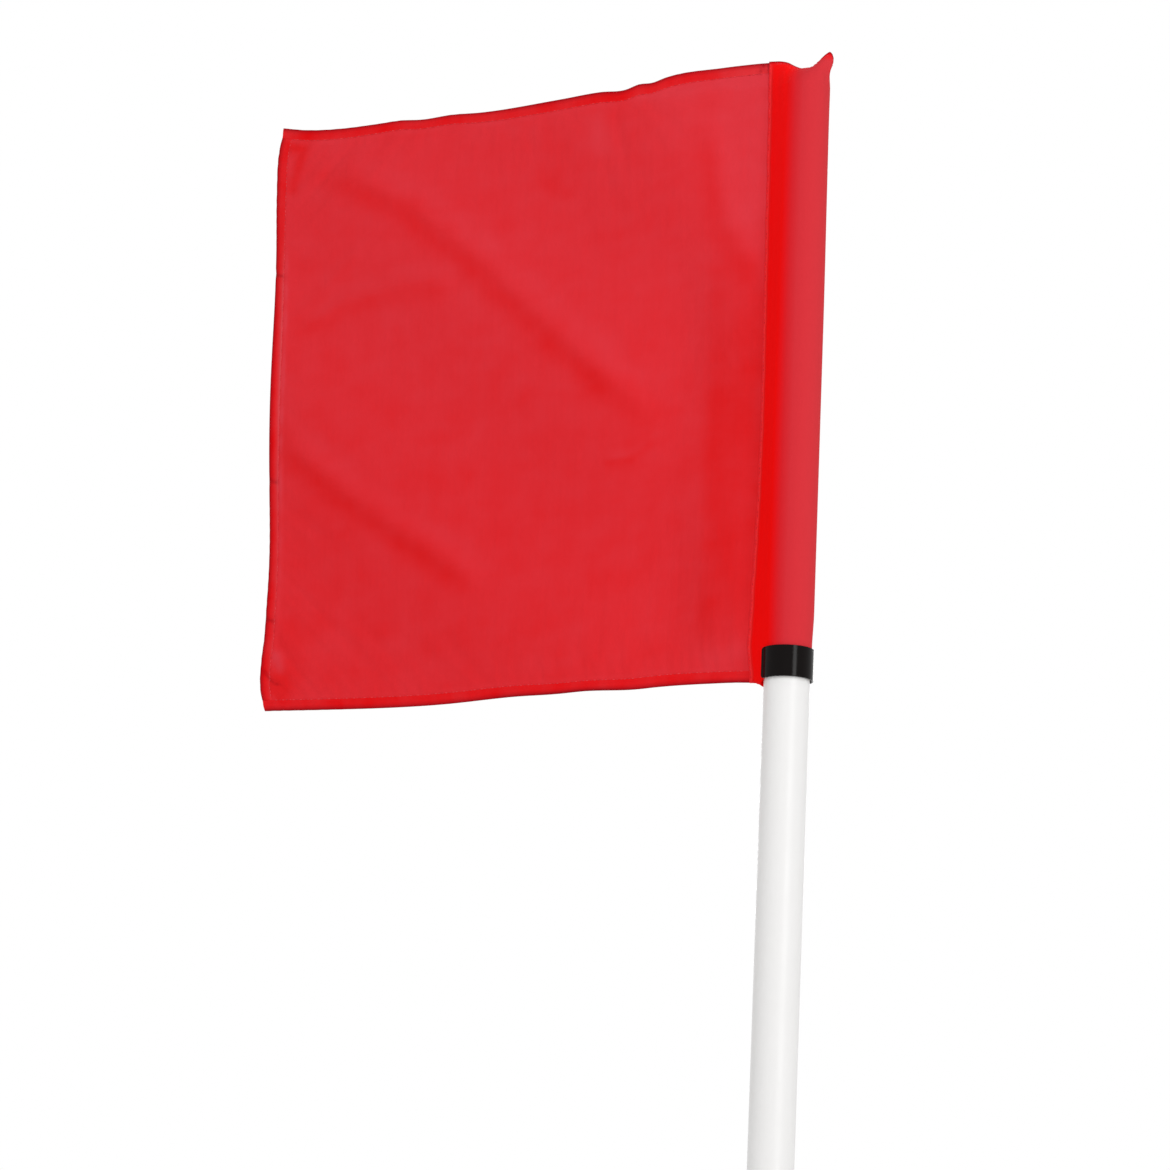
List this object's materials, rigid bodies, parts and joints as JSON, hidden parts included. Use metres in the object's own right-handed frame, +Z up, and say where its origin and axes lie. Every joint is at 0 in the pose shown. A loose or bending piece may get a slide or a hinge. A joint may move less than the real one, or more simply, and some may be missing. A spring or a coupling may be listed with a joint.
{
  "type": "corner flag",
  "caption": "Corner flag: red cloth flag with a sewn pole sleeve, clipped to a white plastic pole on a steel spring, ground disc and spike.",
  "frame": {"origin": "on the pole's axis at ground level, where the spike's collar meets the underside of the ground disc", "axes": "+Z up along the pole; the flag flies towards -X; +Y completes the right-handed frame, across the flag"},
  "size_m": [0.479, 0.09, 1.7386],
  "materials": {
    "zinc_steel": "satin",
    "spring_steel": "satin",
    "black_moulding": "satin",
    "clip_nylon": "satin",
    "white_pvc": "satin",
    "red_cloth": "matte"
  },
  "bodies": {
    "foot": {"ground_spike": "zinc_steel", "ground_disc": "black_moulding", "spike_washer": "zinc_steel", "spike_lock_washer": "spring_steel", "spike_nut": "zinc_steel"},
    "spring": {"coil_spring": "spring_steel"},
    "pole": {"bolt_washer": "zinc_steel", "bolt_lock_washer": "spring_steel", "spring_bolt": "zinc_steel", "pole_plug": "black_moulding", "plug_pin": "zinc_steel", "pole_tube": "white_pvc", "pole_cap": "black_moulding"},
    "clip": {"flag_clip": "clip_nylon"},
    "flag": {"flag_panel": "red_cloth", "top_hem": "red_cloth", "bottom_hem": "red_cloth", "fly_hem": "red_cloth", "pole_sleeve": "red_cloth"}
  },
  "joints": [
    {"name": "lean_along_flag", "type": "hinge", "parent": "foot", "child": "spring", "pos_m": [0, 0, 0.05155], "axis": [0, 1, 0], "range_deg": [-45, 45], "stiffness_Nm_per_rad": 14, "deforming": ["coil_spring"]},
    {"name": "lean_across_flag", "type": "hinge", "parent": "spring", "child": "pole", "pos_m": [0, 0, 0.11905], "axis": [1, 0, 0], "range_deg": [-45, 45], "stiffness_Nm_per_rad": 14, "deforming": ["coil_spring"]},
    {"name": "flag_swivel", "type": "hinge", "parent": "pole", "child": "clip", "pos_m": [0, 0, 1.09], "axis": [0, 0, 1], "continuous": true},
    {"name": "flag_lift", "type": "slide", "parent": "clip", "child": "flag", "axis": [0, 0, 1], "range_m": [0, 0.47]}
  ]
}
